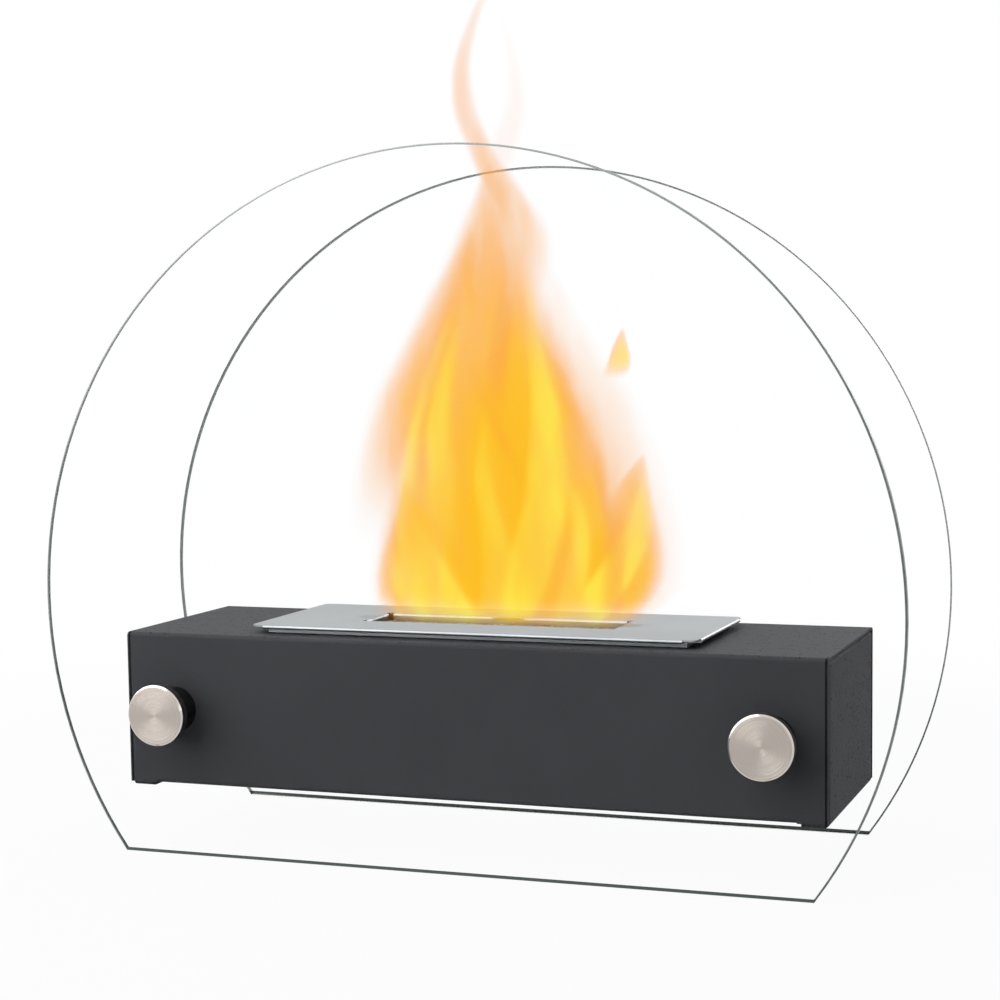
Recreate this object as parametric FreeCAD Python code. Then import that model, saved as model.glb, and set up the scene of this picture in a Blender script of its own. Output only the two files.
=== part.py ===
import FreeCAD, Part
import math
import os

Vector = FreeCAD.Vector

# A tabletop alcohol fireplace: a folded steel fire box hung between two round glass panes,
# with a drop-in burner in its top. Millimetres, x along the fire box, y from front to rear,
# z up from the table that the panes stand on.

# Glass panes: discs cut flat where they stand
glass_radius = 200.0
glass_centre_height = 117.5
glass_thickness = 5.0
glass_arris = 0.5  # ground chamfer along the whole outline
glass_hole_diameter = 9.0

# Fire box: one folded sheet over the front, top and rear
body_width = 331.0
body_depth = 102.0
body_height = 70.5
body_ground_gap = 30.0  # table to the lower edge of the folded sheet
body_sheet = 1.2
body_bend_inside = 0.8  # inside radius of the bends
return_width = 10.0  # lower edges turned inwards
return_end_gap = 1.5  # between a turned edge and the end cap beside it

# End caps: shallow pans that close the ends
cap_depth = 12.0
cap_sheet = 1.2
cap_bend_inside = 0.8
cap_drop = 1.5  # how far a cap reaches below the folded sheet
cap_fit = 0.1  # between a cap's square corners and the bends around them

# Stand-offs: four screws that clamp the panes to the fire box
standoff_inset = 24.5  # from each end of the body to its stand-offs
glass_gap = 7.5  # fire box face to pane
stud_diameter = 6.0
stud_tip = 1.5  # stud showing past its nut
stud_seat_depth = 3.2  # stud inside its knob
stud_seat_fit = 0.05
stud_clearance = 0.35  # round the stud where it only passes through
thread_fit = 0.05
nut_across_flats = 10.0
nut_height = 6.0
spacer_diameter = 21.0
spacer_sleeve_wall = 0.9  # sleeve that centres the pane's hole
spacer_sleeve_gap = 0.4  # sleeve end to the outer face of the pane
washer_diameter = 26.6
washer_thickness = 2.0
knob_diameter = 28.0
knob_thickness = 5.0
knob_bevel = 0.9

# Burner top plate: thin sheet with closed hems and a slot whose edges are folded down
plate_length = 214.0
plate_width = 83.0
plate_rise = 4.0  # plate's upper face above the fire box
plate_sheet = 0.8
plate_corner_radius = 2.5
hem_gap = 0.2  # inside a closed hem
hem_width = 6.0
hem_corner_relief = 7.0  # hems stop short of the corners
slot_length = 120.0
slot_width = 28.0
slot_lip_depth = 3.4
slot_lip_bend_inside = 0.5
slot_corner_relief = 1.6  # folded edges stop short of the slot's corners

# Burner tray: folded and welded under the plate, standing on the fire box by its turned-down rim
tray_depth = 46.0  # floor below the fire box's top
tray_sheet = 0.8
tray_floor_bend_inside = 3.0
tray_rim_width = 7.0  # tray wall to the outer face of the rim
tray_rim_bend_inside = 0.6
tray_rim_gap = 0.7  # rim to the plate's hems
tray_cutout_gap = 2.0  # tray wall to the edge of the cut-out in the fire box
cutout_corner_radius = 3.0

# Filling of the tray
wool_gap = 0.5
mesh_thickness = 0.8
mesh_margin = 5.0  # mesh reaching past the slot on every side
mesh_pitch = 5.6
mesh_bar = 1.0

cut_overrun = 1.0
shortest_edge = 1e-6

body_top = body_ground_gap + body_height
standoff_spacing = body_width - 2 * standoff_inset
standoff_height = body_ground_gap + body_height / 2
pane_inner_face = body_depth / 2 + glass_gap
knob_seat = glass_gap + glass_thickness + washer_thickness
plate_top = body_top + plate_rise
mesh_top = plate_top - slot_lip_depth
tray_rim_top = plate_top - plate_sheet
tray_floor = body_top - tray_depth
tray_inset = hem_width + tray_rim_gap + tray_rim_width + tray_sheet  # plate edge to tray inside
tray_inside_length = plate_length - 2 * tray_inset
tray_inside_width = plate_width - 2 * tray_inset


def corner_arc(before, corner, after, radius):
    inward = (before - corner).normalize()
    outward = (after - corner).normalize()
    half_angle = inward.getAngle(outward) / 2
    reach = radius / math.tan(half_angle)
    bulge = radius / math.sin(half_angle) - radius
    middle = corner + (inward + outward).normalize() * bulge
    return corner + inward * reach, middle, corner + outward * reach


def rounded_wire(points, radii):
    # closed outline through the points, each corner rounded by its own radius
    stops = []
    for index, corner in enumerate(points):
        if radii[index] > 0:
            after = points[(index + 1) % len(points)]
            stops.append(corner_arc(points[index - 1], corner, after, radii[index]))
        else:
            stops.append((corner, None, corner))
    edges = []
    for index, (start, middle, end) in enumerate(stops):
        last = stops[index - 1][2]
        if (start - last).Length > shortest_edge:
            edges.append(Part.LineSegment(last, start).toShape())
        if middle:
            edges.append(Part.Arc(start, middle, end).toShape())
    return Part.Wire(edges)


def sheet_section(path, thickness, bends):
    # section in the yz plane of a sheet whose face follows a path of (y, z) points with square
    # turns, its thickness on the right of the path; bends are the inside radii of the turns
    face = [Vector(0, y, z) for y, z in path]
    runs = [(end - begin).normalize() for begin, end in zip(face, face[1:])]
    rights = [Vector(0, run.z, -run.y) for run in runs]
    back = [face[0] + rights[0] * thickness]
    face_radii = [0]
    back_radii = [0]
    for index, bend in enumerate(bends):
        back.append(face[index + 1] + (rights[index] + rights[index + 1]) * thickness)
        turns_right = runs[index].dot(rights[index + 1]) < 0
        face_radii.append(bend + thickness if turns_right else bend)
        back_radii.append(bend if turns_right else bend + thickness)
    back.append(face[-1] + rights[-1] * thickness)
    face_radii.append(0)
    back_radii.append(0)
    return Part.Face(rounded_wire(face + back[::-1], face_radii + back_radii[::-1]))


def folded_strip(path, thickness, bends, run):
    # folded sheet as long as run, centred on x
    section = sheet_section(path, thickness, bends)
    return section.extrude(Vector(run, 0, 0)).translated(Vector(-run / 2, 0, 0))


def turned_about_z(shape, angle):
    return shape.rotated(Vector(0, 0, 0), Vector(0, 0, 1), angle)


def folded_box(path, thickness, bends, length, width):
    # four sides of a box folded from one sheet and welded along mitred corners; the path's y
    # runs outwards from the edge of a rectangle of this length and width
    reaches = [y for y, z in path]
    heights = [z for y, z in path]
    near = min(reaches) - thickness
    far = max(reaches) + thickness
    bottom = min(heights) - thickness
    top = max(heights) + thickness
    sides = []
    for angle, along, across in ((0, length, width), (90, width, length)):
        strip = folded_strip([(across / 2 + y, z) for y, z in path], thickness, bends, along + 2 * far)
        corners = [Vector(sign * (along / 2 + reach), across / 2 + reach, bottom)
                   for sign, reach in ((-1, near), (1, near), (1, far), (-1, far))]
        mitre = Part.Face(Part.makePolygon(corners + corners[:1])).extrude(Vector(0, 0, top - bottom))
        side = strip.common(mitre)
        sides += [turned_about_z(side, angle), turned_about_z(side, angle + 180)]
    return sides


def rounded_rectangle(length, width, radius, height):
    # flat outline centred on the z axis
    signs = ((-1, -1), (1, -1), (1, 1), (-1, 1))
    corners = [Vector(a * length / 2, b * width / 2, height) for a, b in signs]
    return rounded_wire(corners, [radius] * len(corners))


def rounded_block(length, width, radius, bottom, top):
    face = Part.Face(rounded_rectangle(length, width, radius, bottom))
    return face.extrude(Vector(0, 0, top - bottom))


def joined(pieces):
    return pieces[0].multiFuse(pieces[1:]).removeSplitter()


def turned(profile):
    # solid of revolution about z from (radius, height) points
    points = [Vector(radius, 0, height) for radius, height in profile]
    outline = Part.makePolygon(points + points[:1])
    return Part.Face(outline).revolve(Vector(0, 0, 0), Vector(0, 0, 1), 360)


def at_standoff(piece, side, face):
    # from a local frame with z pointing out of the fire box wall to one of the four places
    placed = piece.rotated(Vector(0, 0, 0), Vector(1, 0, 0), -90 * face)
    placed.translate(Vector(side * standoff_spacing / 2, face * body_depth / 2, standoff_height))
    return placed


def glass_pane(face):
    half_chord = math.sqrt(glass_radius ** 2 - glass_centre_height ** 2)
    left = Vector(-half_chord, 0, 0)
    right = Vector(half_chord, 0, 0)
    crown = Vector(0, 0, glass_centre_height + glass_radius)
    outline = Part.Wire([Part.LineSegment(left, right).toShape(), Part.Arc(right, crown, left).toShape()])
    pane = Part.Face(outline).extrude(Vector(0, glass_thickness, 0))
    rims = [edge for edge in pane.Edges if edge.BoundBox.YLength < shortest_edge]
    pane = pane.makeChamfer(glass_arris, rims)
    for side in (-1, 1):
        hole = Part.makeCylinder(glass_hole_diameter / 2, glass_thickness + 2 * cut_overrun,
                                 Vector(side * standoff_spacing / 2, -cut_overrun, standoff_height),
                                 Vector(0, 1, 0))
        pane = pane.cut(hole)
    start = pane_inner_face if face > 0 else -pane_inner_face - glass_thickness
    return pane.translated(Vector(0, start, 0))


def body_wrapper():
    half = body_depth / 2
    plain = [(-half, body_ground_gap), (-half, body_top), (half, body_top), (half, body_ground_gap)]
    front_return = (-half + return_width, body_ground_gap)
    rear_return = (half - return_width, body_ground_gap)
    hemmed = [front_return] + plain + [rear_return]
    end_run = cap_depth + return_end_gap
    middle = folded_strip(hemmed, body_sheet, [body_bend_inside] * 4, body_width - 2 * end_run)
    end = folded_strip(plain, body_sheet, [body_bend_inside] * 2, end_run)
    end_shift = Vector((body_width - end_run) / 2, 0, 0)
    wrapper = joined([middle, end.translated(end_shift), end.translated(-end_shift)])
    cutout_reach = 2 * (tray_sheet + tray_cutout_gap)
    cutout = rounded_block(tray_inside_length + cutout_reach, tray_inside_width + cutout_reach,
                           cutout_corner_radius, body_top - body_sheet - cut_overrun, body_top + cut_overrun)
    wrapper = wrapper.cut(cutout)
    hole = Part.makeCylinder(stud_diameter / 2 + stud_clearance, body_sheet + 2 * cut_overrun,
                             Vector(0, 0, -body_sheet - cut_overrun))
    for side in (-1, 1):
        for face in (-1, 1):
            wrapper = wrapper.cut(at_standoff(hole, side, face))
    return wrapper


def end_cap(side):
    # made face up about the z axis, then stood on its edge at one end of the fire box
    bend_filling = body_bend_inside * (1 - 1 / math.sqrt(2))  # metal in the corner of a bend
    inset = body_sheet + bend_filling + cap_fit
    bottom = body_ground_gap - cap_drop
    height = body_top - inset - bottom
    width = body_depth - 2 * inset
    bend = cap_bend_inside + cap_sheet
    flanges = folded_box([(-bend, 0), (0, 0), (0, -cap_depth)], cap_sheet, [cap_bend_inside], height, width)
    face = rounded_block(height - 2 * bend, width - 2 * bend, 0, -cap_sheet, 0)
    cap = joined(flanges + [face])
    cap.rotate(Vector(0, 0, 0), Vector(0, 1, 0), 90 * side)
    cap.translate(Vector(side * body_width / 2, 0, bottom + height / 2))
    return cap


def stud():
    tip = -body_sheet - nut_height - stud_tip
    end = knob_seat + stud_seat_depth
    return Part.makeCylinder(stud_diameter / 2, end - tip, Vector(0, 0, tip))


def weld_nut():
    bottom = -body_sheet - nut_height
    corner_radius = nut_across_flats / math.sqrt(3)
    angles = [math.radians(60 * corner) for corner in range(6)]
    corners = [Vector(corner_radius * math.cos(a), corner_radius * math.sin(a), bottom) for a in angles]
    hexagon = Part.Face(Part.makePolygon(corners + corners[:1]))
    bore = Part.makeCylinder(stud_diameter / 2 + thread_fit, nut_height + 2 * cut_overrun,
                             Vector(0, 0, bottom - cut_overrun))
    return hexagon.extrude(Vector(0, 0, nut_height)).cut(bore)


def spacer():
    bore = stud_diameter / 2 + stud_clearance
    sleeve = bore + spacer_sleeve_wall
    sleeve_end = glass_gap + glass_thickness - spacer_sleeve_gap
    rim = spacer_diameter / 2
    return turned([(bore, 0), (rim, 0), (rim, glass_gap), (sleeve, glass_gap), (sleeve, sleeve_end),
                   (bore, sleeve_end)])


def washer():
    bottom = knob_seat - washer_thickness
    bore = stud_diameter / 2 + stud_clearance
    rim = washer_diameter / 2
    return turned([(bore, bottom), (rim, bottom), (rim, knob_seat), (bore, knob_seat)])


def knob():
    rim = knob_diameter / 2
    seat = stud_diameter / 2 + stud_seat_fit
    seat_end = knob_seat + stud_seat_depth
    front = knob_seat + knob_thickness
    return turned([(seat, knob_seat), (rim, knob_seat), (rim, front - knob_bevel), (rim - knob_bevel, front),
                   (0, front), (0, seat_end), (seat, seat_end)])


def burner_plate():
    hem_height = 2 * plate_sheet + hem_gap
    hem_bend = hem_height / 2
    lip_bend = slot_lip_bend_inside + plate_sheet
    sheet = rounded_block(plate_length - 2 * hem_bend, plate_width - 2 * hem_bend, plate_corner_radius,
                          plate_top - plate_sheet, plate_top)
    opening = rounded_block(slot_length + 2 * lip_bend, slot_width + 2 * lip_bend, 0,
                            plate_top - plate_sheet - cut_overrun, plate_top + cut_overrun)
    pieces = [sheet.cut(opening)]
    sides = ((0, plate_length, plate_width, slot_length, slot_width),
             (90, plate_width, plate_length, slot_width, slot_length))
    for angle, along, across, slot_along, slot_across in sides:
        edge = across / 2
        hem_path = [(edge - hem_bend, plate_top), (edge, plate_top), (edge, plate_top - hem_height),
                    (edge - hem_width, plate_top - hem_height)]
        hem = folded_strip(hem_path, plate_sheet, [hem_gap / 2] * 2, along - 2 * hem_corner_relief)
        lip_path = [(-slot_across / 2 - lip_bend, plate_top), (-slot_across / 2, plate_top),
                    (-slot_across / 2, mesh_top)]
        lip = folded_strip(lip_path, plate_sheet, [slot_lip_bend_inside], slot_along - 2 * slot_corner_relief)
        for turn in (angle, angle + 180):
            pieces.append(turned_about_z(hem, turn))
            pieces.append(turned_about_z(lip, turn))
    return joined(pieces)


def burner_tray():
    floor_top = tray_floor + tray_sheet
    rim_edge = tray_sheet + tray_rim_width
    path = [(-tray_floor_bend_inside, floor_top), (0, floor_top), (0, tray_rim_top), (rim_edge, tray_rim_top),
            (rim_edge, body_top)]
    bends = [tray_floor_bend_inside, tray_rim_bend_inside, tray_rim_bend_inside]
    walls = folded_box(path, tray_sheet, bends, tray_inside_length, tray_inside_width)
    floor = rounded_block(tray_inside_length - 2 * tray_floor_bend_inside,
                          tray_inside_width - 2 * tray_floor_bend_inside, 0, tray_floor, floor_top)
    return joined(walls + [floor])


def ceramic_wool():
    bottom = tray_floor + tray_sheet
    block = rounded_block(tray_inside_length - 2 * wool_gap, tray_inside_width - 2 * wool_gap, 0,
                          bottom, mesh_top - mesh_thickness)
    lower_edges = [edge for edge in block.Edges if edge.BoundBox.ZMax < bottom + shortest_edge]
    return block.makeChamfer(tray_floor_bend_inside, lower_edges)


def mesh_screen():
    length = slot_length + 2 * mesh_margin
    width = slot_width + 2 * mesh_margin
    columns = int((length - mesh_bar) / mesh_pitch)
    rows = int((width - mesh_bar) / mesh_pitch)
    bottom = mesh_top - mesh_thickness
    gap = mesh_pitch - mesh_bar
    outlines = [rounded_rectangle(length, width, 0, bottom)]
    for column in range(columns):
        for row in range(rows):
            x = (column - (columns - 1) / 2) * mesh_pitch
            y = (row - (rows - 1) / 2) * mesh_pitch
            outlines.append(rounded_rectangle(gap, gap, 0, bottom).translated(Vector(x, y, 0)))
    return Part.Face(outlines, "Part::FaceMakerBullseye").extrude(Vector(0, 0, mesh_thickness))


def export(node, shape):
    shape.exportStep("parts/" + node + ".step")


os.makedirs("parts", exist_ok=True)
export("body_wrapper", body_wrapper())
export("left_end_cap", end_cap(-1))
export("right_end_cap", end_cap(1))
export("front_glass_pane", glass_pane(-1))
export("rear_glass_pane", glass_pane(1))
nuts = []
spacers = []
for face_name, face_sign in (("front", -1), ("rear", 1)):
    for side_name, side_sign in (("left", -1), ("right", 1)):
        corner_name = face_name + "_" + side_name
        export(corner_name + "_stud", at_standoff(stud(), side_sign, face_sign))
        export(corner_name + "_washer", at_standoff(washer(), side_sign, face_sign))
        export(corner_name + "_knob", at_standoff(knob(), side_sign, face_sign))
        nuts.append(at_standoff(weld_nut(), side_sign, face_sign))
        spacers.append(at_standoff(spacer(), side_sign, face_sign))
export("weld_nuts", Part.makeCompound(nuts))
export("pane_spacers", Part.makeCompound(spacers))
export("burner_plate", burner_plate())
export("burner_tray", burner_tray())
export("ceramic_wool", ceramic_wool())
export("mesh_screen", mesh_screen())
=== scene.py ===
import math

import bmesh
import bpy
from mathutils import Matrix, Vector


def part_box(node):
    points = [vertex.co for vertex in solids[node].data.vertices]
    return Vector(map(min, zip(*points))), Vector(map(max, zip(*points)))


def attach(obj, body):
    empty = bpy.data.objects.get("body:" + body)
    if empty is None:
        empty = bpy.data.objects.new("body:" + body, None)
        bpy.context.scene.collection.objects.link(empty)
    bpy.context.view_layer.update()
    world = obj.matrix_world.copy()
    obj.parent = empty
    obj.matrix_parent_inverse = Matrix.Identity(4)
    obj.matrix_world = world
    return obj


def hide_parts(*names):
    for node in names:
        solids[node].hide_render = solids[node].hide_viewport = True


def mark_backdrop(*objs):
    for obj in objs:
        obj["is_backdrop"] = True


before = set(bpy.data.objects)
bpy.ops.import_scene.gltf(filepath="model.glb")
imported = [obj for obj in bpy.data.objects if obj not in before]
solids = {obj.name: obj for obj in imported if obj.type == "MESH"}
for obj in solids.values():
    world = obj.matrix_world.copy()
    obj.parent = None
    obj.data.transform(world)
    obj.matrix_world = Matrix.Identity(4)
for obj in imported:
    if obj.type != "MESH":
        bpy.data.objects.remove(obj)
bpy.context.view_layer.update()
corners = ("front_left", "front_right", "rear_left", "rear_right")
plainWhite = (1.0, 1.0, 1.0, 1.0)
print("frame loaded:", len(solids), "solids")


# shader maths on sockets
class Flow:
    def __init__(self, tree, socket=None):
        self.tree = tree
        self.socket = socket

    def node(self, kind, settings=None, sockets=None, out=0):
        made = self.tree.nodes.new(kind)
        for key, value in (settings or {}).items():
            if key == "stops":
                band = made.color_ramp.elements
                band[0].position, band[-1].position = value[0][0], value[-1][0]
                for place, _ in value[1:-1]:
                    band.new(place)
                for stop, (_, colour) in zip(band, value):
                    stop.color = (*colour, 1.0)
            else:
                setattr(made, key, value)
        for key, value in (sockets or {}).items():
            if isinstance(value, Flow):
                self.tree.links.new(value.socket, made.inputs[key])
            else:
                made.inputs[key].default_value = value
        return Flow(self.tree, made.outputs[out])

    def also(self, out):  # another outlet of the same node
        return Flow(self.tree, self.socket.node.outputs[out])

    def math(self, how, *values):
        return self.node("ShaderNodeMath", {"operation": how}, dict(enumerate(values)))

    def __add__(self, other):
        return self.math("ADD", self, other)

    def __radd__(self, other):
        return self.math("ADD", other, self)

    def __sub__(self, other):
        return self.math("SUBTRACT", self, other)

    def __rsub__(self, other):
        return self.math("SUBTRACT", other, self)

    def __mul__(self, other):
        return self.math("MULTIPLY", self, other)

    def __rmul__(self, other):
        return self.math("MULTIPLY", other, self)

    def __truediv__(self, other):
        return self.math("DIVIDE", self, other)

    def __rtruediv__(self, other):
        return self.math("DIVIDE", other, self)

    def __pow__(self, other):
        return self.math("POWER", self, other)

    def __gt__(self, other):
        return self.math("GREATER_THAN", self, other)

    def __lt__(self, other):
        return self.math("LESS_THAN", self, other)

    def __abs__(self):
        return self.math("ABSOLUTE", self)

    def most(self, other):
        return self.math("MAXIMUM", self, other)

    def least(self, other):
        return self.math("MINIMUM", self, other)

    def wave(self, rate):  # sine of the value times rate
        return self.math("SINE", self * rate)

    def ease(self, low, high):  # 0 below low, 1 above high, soft between
        return self.node("ShaderNodeMapRange", {"interpolation_type": "SMOOTHSTEP"},
                         {"Value": self, "From Min": low, "From Max": high})

    def tint(self, low, high):  # a colour from low to high
        return self.node("ShaderNodeMix", {"data_type": "RGBA"}, {0: self, 6: low, 7: high}, 2)

    def axes(self):
        split = self.node("ShaderNodeSeparateXYZ", None, {0: self})
        return split, split.also(1), split.also(2)

    def stretch(self, scale):
        return self.node("ShaderNodeMapping", {"vector_type": "POINT"}, {"Vector": self, "Scale": scale})

    def noise(self, scale, detail=2.0, roughness=0.5):
        return self.node("ShaderNodeTexNoise", None,
                         {"Vector": self, "Scale": scale, "Detail": detail, "Roughness": roughness})

    def noiseAlong(self, scale, detail, roughness=0.5):  # noise of one value, for rings
        return self.node("ShaderNodeTexNoise", {"noise_dimensions": "1D"},
                         {"W": self * scale, "Detail": detail, "Roughness": roughness})

    def bump(self, strength, distance):
        return self.node("ShaderNodeBump", None,
                         {"Height": self, "Strength": strength, "Distance": distance})


def newFinish(name, fixed):
    finish = bpy.data.materials.new(name)
    finish.use_nodes = True
    shader = finish.node_tree.nodes["Principled BSDF"]
    for key, value in fixed.items():
        shader.inputs[key].default_value = value
    start = Flow(finish.node_tree)
    return finish, shader, start.node("ShaderNodeTexCoord", out="Object")


def bareFinish(name):  # one with no shader yet
    finish = bpy.data.materials.new(name)
    finish.use_nodes = True
    tree = finish.node_tree
    tree.nodes.remove(tree.nodes["Principled BSDF"])
    return finish, tree, Flow(tree).node("ShaderNodeTexCoord", out="Object")


def feed(shader, sockets):
    for key, flow in sockets.items():
        flow.tree.links.new(flow.socket, shader.inputs[key])


def dress(finish, *names):
    for name in names:
        for holder in solids[name].material_slots:
            holder.material = finish


def newPiece(name, shape, finish, smooth=True):
    mesh = bpy.data.meshes.new(name)
    for face in shape.faces:
        face.smooth = smooth
    shape.to_mesh(mesh)
    shape.free()
    mesh.materials.append(finish)
    piece = bpy.data.objects.new(name, mesh)
    bpy.context.scene.collection.objects.link(piece)
    return piece


def vertsOf(geom):
    return [g for g in geom if isinstance(g, bmesh.types.BMVert)]


def edgesOf(geom):
    return [g for g in geom if isinstance(g, bmesh.types.BMEdge)]


# charcoal powder coat on the folded body and its end caps
powder = {
    "shade": (0.035, 0.0353, 0.0386, 1.0),
    "light": (0.064, 0.0645, 0.0698, 1.0),
    "pitShade": (0.012, 0.012, 0.013, 1.0),
    "seamShade": (0.010, 0.010, 0.011, 1.0),
    "specular": 0.025,
    "cloudScale": 9.0,
    "peelScale": 760.0,
    "peelBump": (0.5, 0.00045),  # strength and depth
    "contrast": (0.3, 0.7),
    "pitScale": 520.0,
    "pitEdge": (0.14, 0.32),
    "pitDepth": 0.8,
    "patchScale": 208.0,  # the pits come in patches
    "patchEdge": (0.52, 0.58),
    "seam": (0.1639, 0.1649),  # where the folded sheet meets the end caps
    "seamDepth": 0.046,
    "faceDepth": 0.0504,  # past it lie the wide faces, which are smoother
    "faceCalm": 0.985,
    "grain": {"base": 0.15, "cloud": 0.16, "peel": 0.54, "calm": 0.27},
    "rough": {"base": 0.44, "grain": 0.08, "pits": 0.2, "coarse": 0.06},
}


def powderFinish():
    finish, shader, spot = newFinish("powderCoat", {"Specular IOR Level": powder["specular"]})
    x, y, _ = spot.axes()
    calm = (abs(y) > powder["faceDepth"]) * powder["faceCalm"]
    coarse = 1.0 - calm
    peel = spot.noise(powder["peelScale"], detail=3.0, roughness=0.55)
    cloud = spot.noise(powder["cloudScale"])
    cells = spot.node("ShaderNodeTexVoronoi", {"feature": "F1"},
                      {"Vector": spot, "Scale": powder["pitScale"], "Randomness": 1.0})
    patches = spot.noise(powder["patchScale"], detail=0.0, roughness=0.0).ease(*powder["patchEdge"])
    pits = (1.0 - cells.ease(*powder["pitEdge"])) * patches * coarse
    part = powder["grain"]
    grain = cloud.ease(*powder["contrast"]) * part["cloud"]
    grain = grain + peel.ease(*powder["contrast"]) * coarse * part["peel"]
    grain = grain + calm * part["calm"] + part["base"]
    near, past = powder["seam"]
    seam = (abs(x) > near) * (abs(x) < past) * (abs(y) > powder["seamDepth"])
    colour = pits.tint(grain.tint(powder["shade"], powder["light"]), powder["pitShade"])
    height = (peel - 0.5) * coarse - pits * powder["pitDepth"]
    part = powder["rough"]
    rough = part["base"] + grain * part["grain"] + pits * part["pits"] + coarse * part["coarse"]
    feed(shader, {
        "Base Color": seam.tint(colour, powder["seamShade"]),
        "Roughness": rough,
        "Normal": height.bump(*powder["peelBump"]),
    })
    return finish


dress(powderFinish(), "body_wrapper", "left_end_cap", "right_end_cap")
print("powder coat done")

# clear float glass, with ground grey-green edges; on the edges, painted light towards the top and on the
# rear pane, painted shade on the rear pane's right and at the foot
pane = {
    "radius": 0.2,
    "centreHeight": 0.1175,
    "edgeBand": 0.0009,
    "footBand": 0.0016,
    "groundFrom": (0.0604, 0.0618),  # depth past which the front and the rear pane's edge is ground
    "edge": (0.105, 0.124, 0.117, 1.0),
    # pale streaks of the ground edge, and the painted light towards the top
    "edgePaleAndPaintedLight": (0.24, 0.265, 0.255, 1.0),
    # painted shade along the foot of each pane
    "paintedFootShade": (0.045, 0.062, 0.054, 1.0),
    # painted light and shade on the rear pane's edges: paler on the left, darker on the right
    "rearPaintedLight": (0.38, 0.41, 0.40, 1.0),
    "rearRightPaintedShade": (0.22, 0.245, 0.235, 1.0),
    "grindScale": 260.0,
    "sweepScale": 11.0,
    "sweepEdge": (0.36, 0.66),
    # painted light: the edges turn paler towards the top, as if lit from above
    "paintedLightHeight": (0.16, 0.31),
    "paintedLightShare": 0.9,
    "rearLightToShade": (-0.02, 0.08),  # from the painted light on the left of the rear edge to the painted shade on its right
    "rough": {"base": 0.2, "grind": 0.25, "face": 0.02},
    "clear": (0.9985, 0.9995, 0.999, 1.0),
    "gloss": 0.7,
    "glossPower": 7.0,
}


def glassFinish():
    finish, shader, spot = newFinish("clearGlass", {"IOR": 1.52})
    x, y, z = spot.axes()
    up = z - pane["centreHeight"]
    reach = (x * x + up * up) ** 0.5
    rim = reach > pane["radius"] - pane["edgeBand"]
    foot = z < pane["footBand"]
    rear = y > 0.0
    outer = rim.most(foot)
    front, back = pane["groundFrom"]
    edge = outer * (abs(y) > rear * (back - front) + front)
    grind = spot.noise(pane["grindScale"], detail=3.0, roughness=0.6)
    sweep = spot.noise(pane["sweepScale"], detail=1.0)
    mark = (grind * 0.35 + sweep * 0.65).ease(*pane["sweepEdge"])
    # random pale streaks, plus painted light that grows towards the top
    mark = (mark + z.ease(*pane["paintedLightHeight"]) * pane["paintedLightShare"]).least(1.0)
    # painted light and shade: the rear pane's edges are paler on the left, darker on the right
    far = x.ease(*pane["rearLightToShade"]).tint(pane["rearPaintedLight"], pane["rearRightPaintedShade"])
    shade = rear.tint(mark.tint(pane["edge"], pane["edgePaleAndPaintedLight"]), far)
    rough = pane["rough"]
    feed(shader, {
        # painted shade: the foot band of each pane is darker
        "Base Color": foot.tint(shade, pane["paintedFootShade"]),
        "Roughness": rough["base"] + grind * rough["grind"],
    })
    groundEdge = Flow(spot.tree, shader.outputs[0])
    clear = spot.node("ShaderNodeBsdfTransparent", None, {"Color": pane["clear"]})
    shine = spot.node("ShaderNodeBsdfGlossy", None, {"Color": plainWhite, "Roughness": rough["face"]})
    slant = spot.node("ShaderNodeLayerWeight", None, {"Blend": 0.5}, "Facing")  # shines only from the side
    shineShare = slant ** pane["glossPower"] * (1.0 - outer) * pane["gloss"]
    face = spot.node("ShaderNodeMixShader", None, {0: shineShare, 1: clear, 2: shine})
    body = spot.node("ShaderNodeMixShader", None, {0: edge, 1: face, 2: groundEdge})
    outlet = finish.node_tree.nodes["Material Output"]
    finish.node_tree.links.new(body.socket, outlet.inputs["Surface"])
    return finish


dress(glassFinish(), "front_glass_pane", "rear_glass_pane")
print("glass done")

# turned stainless knobs: rings round each knob's own axis
turnedKnob = {
    "apart": 0.141,  # from the middle of the object to a knob's axis
    "height": 0.06525,
    "axisGap": 0.00002,  # keeps the radius above nothing
    "face": 0.0703,
    "rim": (0.0130, 0.0696),  # radius and depth where the polished bevel starts
    "steel": (0.435, 0.39, 0.355, 1.0),
    "dark": (0.37, 0.332, 0.302, 1.0),
    "polish": (0.60, 0.56, 0.52, 1.0),
    # painted shade: the side wall is darker steel than the face
    "wall": (0.20, 0.18, 0.165, 1.0),
    "ringScale": 5200.0,
    "ringTilt": 2.0,
    "bandScale": 900.0,
    "contrast": (0.35, 0.65),
    "rough": {"base": 0.235, "rings": 0.10, "bevel": 0.15},
}


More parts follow.
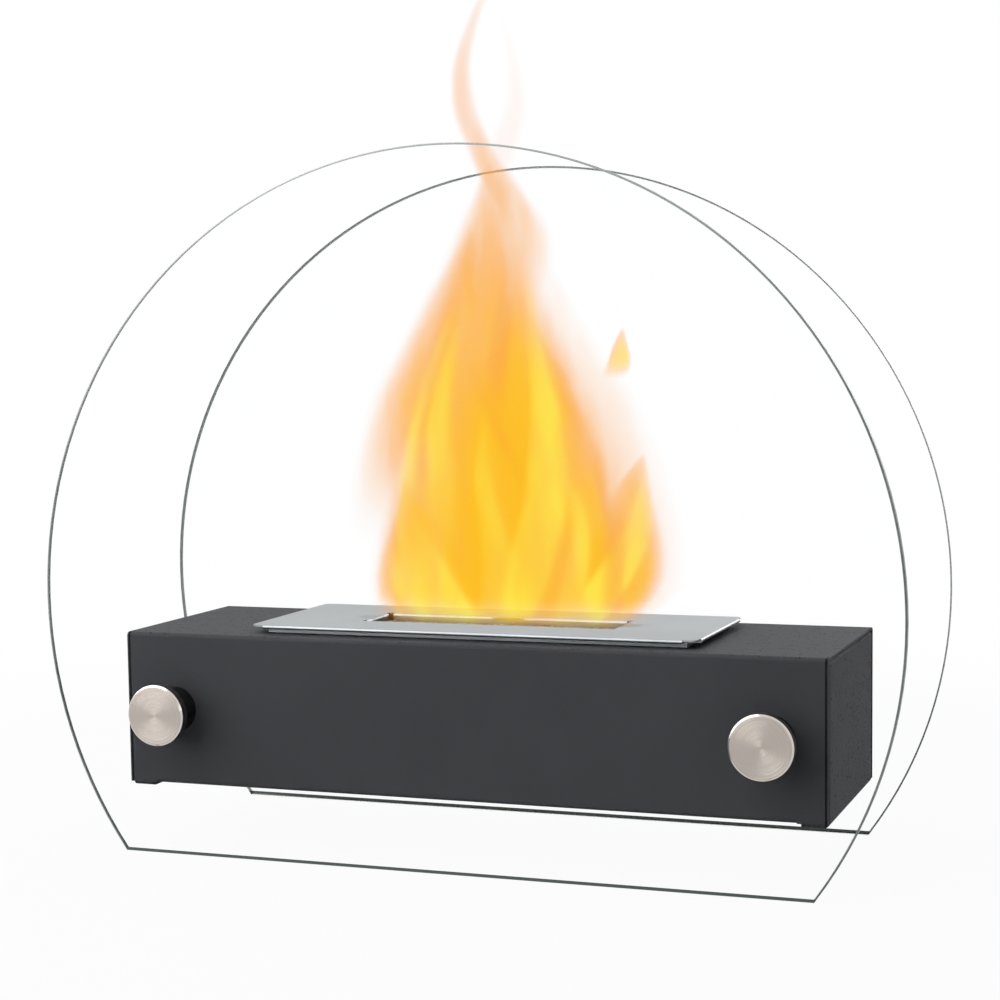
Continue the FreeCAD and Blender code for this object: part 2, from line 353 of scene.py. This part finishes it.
def knobFinish():
    finish, shader, spot = newFinish("turnedSteel", {"Metallic": 1.0})
    x, y, z = spot.axes()
    across = x - x.math("SIGN", x) * turnedKnob["apart"]
    up = z - turnedKnob["height"]
    reach = (across * across + up * up) ** 0.5 + turnedKnob["axisGap"]
    rings = reach.noiseAlong(turnedKnob["ringScale"], 3.0, 0.7)
    bands = reach.noiseAlong(turnedKnob["bandScale"], 1.0)
    face = abs(y) > turnedKnob["face"]
    tilt = (rings - 0.5) * turnedKnob["ringTilt"] * face
    outward = spot.node("ShaderNodeCombineXYZ", None, {0: across / reach * tilt, 2: up / reach * tilt})
    outward = spot.node("ShaderNodeVectorTransform",
                        {"vector_type": "VECTOR", "convert_from": "OBJECT", "convert_to": "WORLD"},
                        {0: outward})
    plain = spot.node("ShaderNodeNewGeometry", out="Normal")
    lean = spot.node("ShaderNodeVectorMath", {"operation": "ADD"}, {0: plain, 1: outward})
    lean = spot.node("ShaderNodeVectorMath", {"operation": "NORMALIZE"}, {0: lean})
    rimReach, rimDepth = turnedKnob["rim"]
    front = abs(y) > rimDepth
    bevel = front * (reach > rimReach) * (1.0 - face)
    turned = (bands * 0.6 + rings * 0.4).ease(*turnedKnob["contrast"])
    turned = turned.tint(turnedKnob["dark"], turnedKnob["steel"])
    # painted shade on the knob's side wall
    turned = (1.0 - front).tint(turned, turnedKnob["wall"])
    rough = turnedKnob["rough"]
    feed(shader, {
        "Base Color": bevel.tint(turned, turnedKnob["polish"]),
        "Roughness": rough["base"] + rings * rough["rings"] - bevel * rough["bevel"],
        "Normal": lean,
    })
    return finish


dress(knobFinish(), *[corner + "_knob" for corner in corners])
print("knobs done")

# satin stainless for the burner plate and its tray
satin = {
    "pale": (0.312, 0.328, 0.341, 1.0),
    "deep": (0.250, 0.262, 0.274, 1.0),
    "straw": (0.46, 0.37, 0.24, 1.0),
    "grain": (30.0, 2600.0, 2600.0),
    "grainBump": (0.14, 0.00006),  # strength and depth
    "cloudScale": 24.0,
    "contrast": (0.34, 0.66),
    "slotHalf": (0.060, 0.014),
    "top": 0.1035,
    "lip": 0.003,
    "heatReach": (-0.002, 0.012),  # how far from the slot the straw tint goes
    "heatCloud": (0.25, 0.7),
    "plateHeat": 0.75,
    "trayHeat": 1.0,
    "rough": {"base": 0.27, "grain": 0.10, "cloud": 0.05},
}


def satinFinish(name, heat):
    finish, shader, spot = newFinish(name, {"Metallic": 1.0})
    x, y, z = spot.axes()
    lines = spot.stretch(satin["grain"]).noise(1.0, roughness=0.6)
    cloud = spot.noise(satin["cloudScale"])
    below = 1.0 - z.ease(satin["top"] - satin["lip"], satin["top"])  # only the lips and the tray are tinted
    halfLength, halfWidth = satin["slotHalf"]
    nearEnds = 1.0 - (abs(x) - halfLength).ease(*satin["heatReach"])
    nearSides = 1.0 - (abs(y) - halfWidth).ease(*satin["heatReach"])
    warm = below * (nearEnds * nearSides) * cloud.ease(*satin["heatCloud"]) * heat
    steel = (lines * 0.55 + cloud * 0.45).ease(*satin["contrast"]).tint(satin["deep"], satin["pale"])
    rough = satin["rough"]
    feed(shader, {
        "Base Color": warm.tint(steel, satin["straw"]),
        "Roughness": rough["base"] + lines * rough["grain"] + cloud * rough["cloud"],
        "Normal": lines.bump(*satin["grainBump"]),
    })
    return finish


dress(satinFinish("satinSteel", satin["plateHeat"]), "burner_plate")
dress(satinFinish("traySteel", satin["trayHeat"]), "burner_tray")
print("plate and tray done")

# black fittings on both sides of the glass
fitting = {
    "specular": 0.08,
    "skinScale": 1400.0,
    "skinBump": 0.25,
    "rubScale": 90.0,
    "rubRough": 0.15,
    "contrast": (0.35, 0.68),
    # dark shade, pale shade, roughness, depth of the skin
    "rubber": ((0.006, 0.006, 0.0065, 1.0), (0.013, 0.013, 0.0135, 1.0), 0.55, 0.00010),
    "nylon": ((0.005, 0.005, 0.0055, 1.0), (0.011, 0.011, 0.0115, 1.0), 0.32, 0.00005),
}


def fittingFinish(name, shade, pale, rough, depth):
    finish, shader, spot = newFinish(name, {"Specular IOR Level": fitting["specular"]})
    skin = spot.noise(fitting["skinScale"], roughness=0.6)
    rub = spot.noise(fitting["rubScale"])
    feed(shader, {
        "Base Color": (skin * 0.4 + rub * 0.6).ease(*fitting["contrast"]).tint(shade, pale),
        "Roughness": rough + rub * fitting["rubRough"],
        "Normal": skin.bump(fitting["skinBump"], depth),
    })
    return finish


dress(fittingFinish("blackRubber", *fitting["rubber"]), "pane_spacers")
dress(fittingFinish("blackNylon", *fitting["nylon"]), *[corner + "_washer" for corner in corners])

# zinc-plated nuts and studs
zinc = {
    "bright": (0.62, 0.64, 0.66, 1.0),
    "dull": (0.42, 0.43, 0.42, 1.0),
    "yellow": (0.50, 0.46, 0.34, 1.0),
    "spangleScale": 420.0,
    "spangleBump": (0.15, 0.00008),  # strength and depth
    "contrast": (0.3, 0.7),
    "filmScale": 120.0,
    "filmEdge": (0.45, 0.7),
    "filmShare": 0.5,
    "rough": {"base": 0.28, "spangle": 0.2},
}


def zincFinish():
    finish, shader, spot = newFinish("zincSteel", {"Metallic": 1.0})
    spangle = spot.noise(zinc["spangleScale"], detail=3.0, roughness=0.6)
    film = spot.noise(zinc["filmScale"]).ease(*zinc["filmEdge"])
    metal = spangle.ease(*zinc["contrast"]).tint(zinc["dull"], zinc["bright"])
    feed(shader, {
        "Base Color": (film * zinc["filmShare"]).tint(metal, zinc["yellow"]),
        "Roughness": zinc["rough"]["base"] + spangle * zinc["rough"]["spangle"],
        "Normal": spangle.bump(*zinc["spangleBump"]),
    })
    return finish


zincCoat = zincFinish()
dress(zincCoat, "weld_nuts")
print("fittings done")

# threaded studs: the thread's profile is spun up along a plain core
thread = {
    "radius": 0.00298,
    "root": 0.00246,
    "pitch": 0.001,
    "sides": 14,
    "endBevel": 0.0005,
    "start": 0.3,  # of a pitch, before the first turn
    "bare": 1.6,  # pitches without a thread, both ends together
    "merge": 0.00002,
}


def studPiece(corner):
    low, high = (Vector(v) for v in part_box(corner + "_stud"))
    length = high.y - low.y
    centre = Vector(((low.x + high.x) / 2, low.y, (low.z + high.z) / 2))
    pitch, root, sides = thread["pitch"], thread["root"], thread["sides"]
    turns = int((length - pitch * thread["bare"]) / pitch)
    step = pitch / 2
    shape = bmesh.new()
    profile = [(root, 0.0), (thread["radius"], step), (root, pitch)]
    points = [shape.verts.new((r, s + pitch * thread["start"], 0.0)) for r, s in profile]
    edges = [shape.edges.new(pair) for pair in zip(points, points[1:])]
    bmesh.ops.spin(shape, geom=points + edges, cent=(0, 0, 0), axis=(0, 1, 0), angle=math.tau * turns,
                   steps=sides * turns, dvec=(0, pitch / sides, 0))
    bmesh.ops.remove_doubles(shape, verts=shape.verts, dist=thread["merge"])
    core = bmesh.ops.create_cone(shape, cap_ends=True, segments=sides, radius1=root, radius2=root,
                                 depth=length)["verts"]
    bmesh.ops.rotate(shape, verts=core, cent=(0, 0, 0), matrix=Matrix.Rotation(math.pi / 2, 3, "X"))
    bmesh.ops.translate(shape, verts=core, vec=(0, length / 2, 0))
    rims = [e for e in shape.edges if e.is_manifold and set(e.verts) <= set(core)
            and abs(e.verts[0].co.y - e.verts[1].co.y) < step / 10]
    bmesh.ops.bevel(shape, geom=rims, offset=thread["endBevel"], offset_type="OFFSET", affect="EDGES",
                    segments=1, profile=0.5, material=-1)
    bmesh.ops.recalc_face_normals(shape, faces=shape.faces)
    bmesh.ops.translate(shape, verts=shape.verts, vec=centre)
    stud = newPiece(corner + "_threaded_stud", shape, zincCoat, smooth=False)
    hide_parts(corner + "_stud")
    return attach(stud, corner + "_screw")


for corner in corners:
    studPiece(corner)
print("threaded studs done")

# woven gauze over the slot
gauze = {
    "pitch": 0.0016,
    "wire": 0.00030,
    "rise": 0.94,  # of the wire's radius, at each half pitch
    "sides": 5,
    "inset": 0.0005,
    "steel": (0.36, 0.29, 0.215, 1.0),
    "burnt": (0.13, 0.095, 0.07, 1.0),
    "blue": (0.24, 0.25, 0.29, 1.0),
    "metal": 0.9,
    "speckleScale": 520.0,
    "speckleEdge": (0.36, 0.62),
    "speckleBump": (0.2, 0.00008),  # strength and depth
    "heatScale": 46.0,
    "heatEdge": (0.55, 0.72),
    "heatShare": 0.5,
    "rough": {"base": 0.34, "speckle": 0.25},
}


def gauzeFinish():
    finish, shader, spot = newFinish("gauzeSteel", {"Metallic": gauze["metal"]})
    speckle = spot.noise(gauze["speckleScale"], roughness=0.6)
    heat = spot.noise(gauze["heatScale"], detail=3.0, roughness=0.55)
    colour = speckle.ease(*gauze["speckleEdge"]).tint(gauze["burnt"], gauze["steel"])
    feed(shader, {
        "Base Color": (heat.ease(*gauze["heatEdge"]) * gauze["heatShare"]).tint(colour, gauze["blue"]),
        "Roughness": gauze["rough"]["base"] + speckle * gauze["rough"]["speckle"],
        "Normal": speckle.bump(*gauze["speckleBump"]),
    })
    return finish


def wovenWire(shape, along, count, swing):  # one wire, over and under its neighbours
    ring = bmesh.ops.create_circle(shape, cap_ends=False, segments=gauze["sides"],
                                   radius=gauze["wire"])["verts"]
    made = list(ring)
    turn = Matrix.Rotation(math.pi / 2, 3, "Y" if along == 0 else "X")
    bmesh.ops.rotate(shape, verts=ring, cent=(0, 0, 0), matrix=turn)
    edges = list({e for v in ring for e in v.link_edges})
    rise = gauze["wire"] * gauze["rise"]
    bmesh.ops.translate(shape, verts=ring, vec=(0, 0, -swing * rise))
    for step in range(count * 2):
        grown = bmesh.ops.extrude_edge_only(shape, edges=edges)["geom"]
        ring = vertsOf(grown)
        edges = edgesOf(grown)
        move = Vector((0, 0, swing * rise))
        move[along] = gauze["pitch"] / 2
        bmesh.ops.translate(shape, verts=ring, vec=move)
        made += ring
        if step % 2:
            swing = -swing
    return made


def gauzePiece():
    low, high = (Vector(v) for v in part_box("mesh_screen"))
    size = high - low
    pitch = gauze["pitch"]
    countX = int((size.x - 2 * gauze["inset"]) / pitch)
    countY = int((size.y - 2 * gauze["inset"]) / pitch)
    shape = bmesh.new()
    for along, count, rows in ((0, countX, countY), (1, countY, countX)):
        side = 1 - along
        for parity in (0, 1):
            first = wovenWire(shape, along, count, 1 - 2 * ((parity + along) % 2))
            away = Vector((0, 0, 0))
            away[side] = pitch * (parity + 0.5)
            bmesh.ops.translate(shape, verts=first, vec=away)
            region = list({f for v in first for f in v.link_faces})
            region += list({e for v in first for e in v.link_edges}) + first
            for row in range(parity + 2, rows, 2):
                copied = vertsOf(bmesh.ops.duplicate(shape, geom=region)["geom"])
                away = Vector((0, 0, 0))
                away[side] = pitch * (row - parity)
                bmesh.ops.translate(shape, verts=copied, vec=away)
    ends = [e for e in shape.edges if e.is_boundary]
    bmesh.ops.holes_fill(shape, edges=ends, sides=gauze["sides"])
    bmesh.ops.recalc_face_normals(shape, faces=shape.faces)
    span = Vector((countX * pitch / 2, countY * pitch / 2, 0))
    bmesh.ops.translate(shape, verts=shape.verts, vec=(low + high) / 2 - span)
    screen = newPiece("woven_gauze", shape, gauzeFinish())
    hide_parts("mesh_screen")
    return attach(screen, "burner")


screen = gauzePiece()
print("gauze woven:", len(screen.data.polygons), "faces")

# ceramic wool that soaks up the fuel
wool = {
    "edge": 0.005,
    "cuts": 5,
    "swell": 0.0016,
    "margin": 0.0004,
    "pull": 0.55,  # how much less the pad swells at its edges
    "tuftShare": 0.25,
    "tuftWaves": {"x": 310, "y": 240, "z": 330, "skew": 190, "bend": 2.1},
    "fibre": (0.78, 0.74, 0.66, 1.0),
    "shade": (0.50, 0.46, 0.40, 1.0),
    "soot": (0.16, 0.13, 0.11, 1.0),
    "sheen": 0.35,
    "strands": (260.0, 900.0, 900.0),
    "crossStrands": (900.0, 260.0, 900.0),
    "tuftScale": 60.0,
    "contrast": (0.4, 0.68),
    "sootHeight": (0.094, 0.1005),
    "sootEdge": (0.3, 0.75),
    "sootShare": 0.7,
    "feltBump": (0.6, 0.0006),  # strength and depth
    "rough": {"base": 0.85, "felt": 0.12},
}


def woolFinish():
    finish, shader, spot = newFinish("ceramicFibre", {"Sheen Weight": wool["sheen"]})
    strands = spot.stretch(wool["strands"]).noise(1.0, detail=4.0, roughness=0.65)
    crossing = spot.stretch(wool["crossStrands"]).noise(1.0, detail=4.0, roughness=0.65)
    tufts = spot.noise(wool["tuftScale"], detail=3.0, roughness=0.6)
    _, _, z = spot.axes()
    soot = z.ease(*wool["sootHeight"]) * tufts.ease(*wool["sootEdge"]) * wool["sootShare"]
    mat = strands.most(crossing)
    felt = mat * 0.6 + tufts * 0.4
    clean = felt.ease(*wool["contrast"]).tint(wool["shade"], wool["fibre"])
    feed(shader, {
        "Base Color": soot.tint(clean, wool["soot"]),
        "Roughness": wool["rough"]["base"] + mat * wool["rough"]["felt"],
        "Normal": felt.bump(*wool["feltBump"]),
    })
    return finish


def woolPiece():
    low, high = (Vector(v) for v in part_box("ceramic_wool"))
    inset = Vector((wool["margin"],) * 3)
    low, high = low + inset, high - inset
    size = high - low
    swell = wool["swell"]
    shape = bmesh.new()
    bmesh.ops.create_cube(shape, size=1.0)
    bmesh.ops.scale(shape, verts=shape.verts, vec=size - Vector((2 * swell,) * 3))
    bmesh.ops.bevel(shape, geom=shape.edges[:], offset=wool["edge"], offset_type="OFFSET", affect="EDGES",
                    segments=3, profile=0.5, material=-1)
    bmesh.ops.subdivide_edges(shape, edges=shape.edges[:], cuts=wool["cuts"], use_grid_fill=True)
    bmesh.ops.triangulate(shape, faces=shape.faces)
    shape.normal_update()
    half = size / 2 - Vector((swell,) * 3)
    waves = wool["tuftWaves"]
    for v in shape.verts:  # each side swells between its corners, with loose tufts
        crown = 1.0
        for k in range(3):
            reach = min(1.0, abs(v.co[k]) / half[k])
            crown *= 1.0 - wool["pull"] * reach ** 4
        tuft = math.sin(v.co.x * waves["x"] + waves["bend"] * math.sin(v.co.y * waves["y"]))
        tuft *= math.sin(v.co.z * waves["z"] + v.co.y * waves["skew"])
        puff = crown * (1.0 - wool["tuftShare"]) + wool["tuftShare"] * tuft
        v.co += v.normal * swell * min(1.0, max(0.0, puff))
    bmesh.ops.recalc_face_normals(shape, faces=shape.faces)
    bmesh.ops.translate(shape, verts=shape.verts, vec=(low + high) / 2)
    pad = newPiece("wool_pad", shape, woolFinish())
    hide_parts("ceramic_wool")
    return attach(pad, "burner")


woolPiece()
print("wool done")

# the flame over the slot: a glowing fog that only the scene shows
flame = {
    "density": 300.0,
    "pale": (1.0, 0.80, 0.07, 1.0),
    # from the thin fog to the thick
    "glow": ((0.0, (0.92, 0.38, 0.17)), (0.06, (0.95, 0.43, 0.06)), (0.32, (0.99, 0.41, 0.014)),
             (0.72, (1.0, 0.56, 0.014))),
    "foot": (0.1005, 0.119),
    "topHeight": (0.23, 0.32),  # where the colour turns to salmon
    "topTurn": 0.85,
    "coarse": 0.3,  # length of the steps through the fog
    # height, half width and half depth of the space it fills
    "hull": ((0.1015, 0.068, 0.0135), (0.128, 0.096, 0.024), (0.165, 0.104, 0.026), (0.205, 0.100, 0.025),
             (0.255, 0.080, 0.020), (0.310, 0.056, 0.016), (0.365, 0.036, 0.013), (0.405, 0.022, 0.008)),
    "hullSides": 20,
    "spread": 1.18,  # sideways
    "drift": 0.016,
    "driftScale": (24.0, 12.0, 11.0),
    "driftHeight": (0.105, 0.20),
    "veilScale": (85.0, 6.0, 12.0),
    "veilEdge": (0.36, 0.64),
    "veilShare": 0.35,
    "lickVeil": 0.6,
    "foldDepth": 0.8,
    "slotHeight": 0.11,  # tongues from below it start at once, the others fade in
    "slotStart": 0.04,
    "airStart": 0.5,
    "swayRate": 6.5,
    "outline": {"foot": 0.06, "belly": 0.22, "taper": 0.92, "scale": 1.75, "least": 0.0002},
    "crisp": 0.22,
    "crispSide": (-0.3, 0.6),
    "lean": {"share": 0.45, "rate": 5.0, "sway": 0.004},  # in depth
    "depth": (0.18, 0.004),  # of a tongue, for its width and at least
    "tipFade": (3.0, 0.85),
    # foot x, tip x, foot height, tip height, half width, sway, bow, softness, share of full density
    "tongues": (
        (0.001, 0.002, 0.0965, 0.314, 0.0540, 0.003, 0.000, 1.00, 1.00),
        (-0.024, -0.014, 0.097, 0.258, 0.0300, 0.000, -0.004, 1.00, 0.95),
        (0.024, 0.020, 0.097, 0.246, 0.0280, 0.000, 0.006, 1.00, 0.95),
        (0.024, 0.056, 0.097, 0.182, 0.0240, 0.003, 0.008, 0.70, 0.95),
        (-0.022, -0.034, 0.097, 0.170, 0.0210, -0.003, -0.006, 0.70, 0.95),
        (-0.038, -0.008, 0.135, 0.292, 0.0260, 0.000, -0.010, 1.00, 0.60),
        (0.044, 0.022, 0.100, 0.276, 0.0300, 0.000, 0.010, 1.00, 0.15),
        (-0.002, 0.004, 0.225, 0.404, 0.0100, 0.014, 0.000, 1.00, 0.50),
        (0.000, 0.006, 0.250, 0.380, 0.0090, -0.006, 0.000, 1.00, 0.10),
        (0.0485, 0.0545, 0.2150, 0.239, 0.0050, 0.000, 0.001, 0.60, 0.80),
    ),
    # the same, for the paler licks inside it
    "licks": (
        (-0.028, -0.010, 0.118, 0.262, 0.0150, 0.000, -0.008, 0.70, 0.80),
        (-0.008, -0.036, 0.099, 0.186, 0.0090, 0.000, -0.010, 0.60, 1.00),
        (0.006, 0.013, 0.104, 0.268, 0.0095, 0.000, 0.013, 0.60, 1.00),
        (0.030, 0.058, 0.099, 0.180, 0.0080, 0.000, 0.008, 0.60, 1.00),
        (-0.018, -0.034, 0.099, 0.158, 0.0100, 0.000, -0.012, 0.60, 1.00),
        (-0.002, -0.001, 0.099, 0.205, 0.0065, 0.003, 0.000, 0.80, 0.75),
        (0.026, 0.026, 0.101, 0.182, 0.0050, 0.000, 0.008, 0.70, 0.80),
        (0.0485, 0.0545, 0.2150, 0.236, 0.0040, 0.000, 0.001, 0.90, 0.80),
    ),
    # and for the deeper folds between them
    "folds": (
        (0.008, 0.000, 0.180, 0.310, 0.0050, -0.004, 0.000, 0.90, 0.80),
        (-0.030, -0.004, 0.112, 0.276, 0.0036, 0.000, -0.012, 0.90, 0.70),
        (-0.046, -0.050, 0.116, 0.190, 0.0036, 0.000, 0.004, 0.90, 0.80),
        (0.046, 0.024, 0.108, 0.222, 0.0036, 0.000, 0.008, 0.90, 0.65),
        (0.018, -0.014, 0.150, 0.236, 0.0030, 0.000, 0.000, 0.90, 0.45),
    ),
}


def tongue(x, y, z, foot, tip, low, high, half, sway, bow, soft, share):
    t = (z - low) / (high - low)
    start = flame["slotStart"] if low < flame["slotHeight"] else flame["airStart"]
    inside = t.ease(0.0, start) * (t < 1.0)
    t = t.least(1.0).most(0.0)
    centre = t * (tip - foot) + foot + t.wave(flame["swayRate"]) * sway + t * (1.0 - t) * (bow * 4.0)
    line = flame["outline"]
    width = ((t + line["foot"]) ** line["belly"]) * ((1.0 - t) ** line["taper"])
    width = width * (half * line["scale"]) + line["least"]
    off = (x - centre) / width
    body = 1.0 - off * off
    if y is None:  # a lick or fold goes right through the fog, and is crisp on its outer side
        outward = off * (-1.0 if bow < 0.0 else 1.0)
        soft = outward.ease(*flame["crispSide"]) * (flame["crisp"] - soft) + soft
    else:
        lean = t * ((tip - foot) * flame["lean"]["share"])
        lean = lean + t.wave(flame["lean"]["rate"]) * flame["lean"]["sway"]
        byWidth, atLeast = flame["depth"]
        deep = (y - lean) / (width * byWidth + atLeast)
        body = body - deep * deep
    power, loss = flame["tipFade"]
    return body.ease(0.0, soft) * inside * (1.0 - t ** power * loss) * share


def together(shapes, x, y, z):
    whole = tongue(x, y, z, *shapes[0])
    for shape in shapes[1:]:
        whole = whole.most(tongue(x, y, z, *shape))
    return whole


def flameFinish():
    finish, tree, spot = bareFinish("flameGlow")
    drift = spot.stretch(flame["driftScale"]).noise(1.0, roughness=0.45)
    x, y, z = spot.axes()
    x = x / flame["spread"] + (drift - 0.5) * z.ease(*flame["driftHeight"]) * flame["drift"]
    fog = together(flame["tongues"], x, y, z)
    lick = together(flame["licks"], x, None, z)
    fold = together(flame["folds"], x, None, z)
    scaleX, scaleY, scaleZ = flame["veilScale"]
    bent = spot.node("ShaderNodeCombineXYZ", None, {0: x * scaleX, 1: y * scaleY, 2: z * scaleZ})
    veil = bent.noise(1.0, roughness=0.55).ease(*flame["veilEdge"])
    thick = fog * (veil * flame["veilShare"] + (1.0 - flame["veilShare"]))
    heat = thick * (1.0 - fold * flame["foldDepth"])
    heat = heat * (1.0 - z.ease(*flame["topHeight"]) * flame["topTurn"])
    warm = thick.node("ShaderNodeValToRGB", {"stops": flame["glow"]}, {"Fac": heat})
    bright = lick * (1.0 - fold) * (veil * flame["lickVeil"] + (1.0 - flame["lickVeil"]))
    colour = bright.tint(warm, flame["pale"])
    dense = thick * z.ease(*flame["foot"]) * flame["density"]
    glow = spot.node("ShaderNodeEmission", None, {"Color": colour, "Strength": dense})
    soak = spot.node("ShaderNodeVolumeAbsorption", None, {"Color": (0.0, 0.0, 0.0, 1.0), "Density": dense})
    both = spot.node("ShaderNodeAddShader", None, {0: glow, 1: soak})
    tree.links.new(both.socket, tree.nodes["Material Output"].inputs["Volume"])
    finish.cycles.volume_step_rate = flame["coarse"]
    return finish


def flamePiece():
    shape = bmesh.new()
    height, width, depth = flame["hull"][0]
    ring = bmesh.ops.create_circle(shape, cap_ends=False, segments=flame["hullSides"], radius=1.0)["verts"]
    edges = shape.edges[:]
    bmesh.ops.scale(shape, verts=ring, vec=(width, depth, 1.0))
    bmesh.ops.translate(shape, verts=ring, vec=(0, 0, height))
    for newHeight, newWidth, newDepth in flame["hull"][1:]:
        grown = bmesh.ops.extrude_edge_only(shape, edges=edges)["geom"]
        ring = vertsOf(grown)
        edges = edgesOf(grown)
        bmesh.ops.scale(shape, verts=ring, vec=(newWidth / width, newDepth / depth, 1.0))
        bmesh.ops.translate(shape, verts=ring, vec=(0, 0, newHeight - height))
        height, width, depth = newHeight, newWidth, newDepth
    bmesh.ops.holes_fill(shape, edges=[e for e in shape.edges if e.is_boundary], sides=0)
    bmesh.ops.recalc_face_normals(shape, faces=shape.faces)
    glow = newPiece("flame_glow", shape, flameFinish(), smooth=False)
    glow.visible_diffuse = False
    glow.visible_shadow = False
    glow.visible_glossy = False
    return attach(glow, "burner")


flamePiece()
print("flame done")

# white floor and world, soft lamps and the camera
studio = {
    "floorHalf": 4.0,
    "floorShade": (0.42, 0.42, 0.42, 1.0),
    "floorGlow": 0.95,
    "shadowReach": (0.35, 0.75),
    "worldShade": (0.31, 0.317, 0.332, 1.0),
    "aim": (0.0, 0.0, 0.10),
    # name, place, width, height, watts
    "lamps": (
        ("keyLamp", (-0.62, -0.46, 0.66), 1.9, 1.4, 20.5),
        ("fillLamp", (1.30, -0.75, 0.55), 0.3, 0.5, 1.1),
        ("topLamp", (0.05, 0.35, 1.35), 1.1, 0.8, 5.0),
        ("backLamp", (0.45, 1.25, 0.75), 1.0, 1.0, 7.0),
    ),
}


def seenRays(start):  # 1 where the background itself is looked at, reflected or seen through glass
    ray = start.node("ShaderNodeLightPath", out="Is Camera Ray")
    return ray.most(ray.also("Is Glossy Ray")).most(ray.also("Is Transmission Ray"))


def floorPiece():
    finish, tree, spot = bareFinish("whiteFloor")
    x, y, _ = spot.axes()
    far = ((x * x + y * y) ** 0.5).ease(*studio["shadowReach"])
    matte = spot.node("ShaderNodeBsdfDiffuse", None, {"Color": studio["floorShade"]})
    white = spot.node("ShaderNodeEmission", None, {"Color": plainWhite, "Strength": 1.0})
    share = seenRays(spot) * (far * (1.0 - studio["floorGlow"]) + studio["floorGlow"])
    both = spot.node("ShaderNodeMixShader", None, {0: share, 1: matte, 2: white})
    tree.links.new(both.socket, tree.nodes["Material Output"].inputs["Surface"])
    shape = bmesh.new()
    bmesh.ops.create_grid(shape, x_segments=1, y_segments=1, size=studio["floorHalf"])
    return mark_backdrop(newPiece("floor", shape, finish, smooth=False))


def whiteWorld():
    world = bpy.data.worlds.new("whiteWorld")
    world.use_nodes = True
    tree = world.node_tree
    plain = tree.nodes["Background"]
    plain.inputs["Color"].default_value = studio["worldShade"]
    start = Flow(tree)
    white = start.node("ShaderNodeBackground", None, {"Color": plainWhite, "Strength": 1.0})
    both = start.node("ShaderNodeMixShader", None,
                      {0: seenRays(start), 1: Flow(tree, plain.outputs[0]), 2: white})
    tree.links.new(both.socket, tree.nodes["World Output"].inputs["Surface"])
    bpy.context.scene.world = world


def lampSet():
    for name, place, width, height, watts in studio["lamps"]:
        light = bpy.data.lights.new(name, "AREA")
        light.shape = "RECTANGLE"
        light.size, light.size_y, light.energy = width, height, watts
        lamp = bpy.data.objects.new(name, light)
        lamp.location = place
        lamp.rotation_mode = "QUATERNION"
        lamp.rotation_quaternion = (Vector(studio["aim"]) - Vector(place)).to_track_quat("-Z", "Y")
        bpy.context.scene.collection.objects.link(lamp)


photoView = {
    "place": (0.3337, -0.8887, 0.2294),
    "aim": (0.0262, 0.0, 0.1426),
    "roll": -0.65,
    "sensor": 36.0,
    "lens": 74.27,
    "shift": (-0.05, 0.04),
}


def photoCamera():
    eye = bpy.data.cameras.new("photoCamera")
    eye.sensor_width = photoView["sensor"]
    eye.lens = photoView["lens"]
    eye.shift_x, eye.shift_y = photoView["shift"]
    ahead = (Vector(photoView["aim"]) - Vector(photoView["place"])).normalized()
    side = ahead.cross(Vector((0, 0, 1))).normalized()
    up = side.cross(ahead)
    turn = math.radians(photoView["roll"])
    across = side * math.cos(turn) + up * math.sin(turn)
    rise = up * math.cos(turn) - side * math.sin(turn)
    placed = Matrix((across, rise, -ahead)).transposed().to_4x4()
    placed.translation = Vector(photoView["place"])
    camera = bpy.data.objects.new("photoCamera", eye)
    camera.matrix_world = placed
    bpy.context.scene.collection.objects.link(camera)
    bpy.context.scene.camera = camera


floorPiece()
whiteWorld()
lampSet()
photoCamera()
bpy.context.scene.view_settings.view_transform = "Standard"
print("studio done")
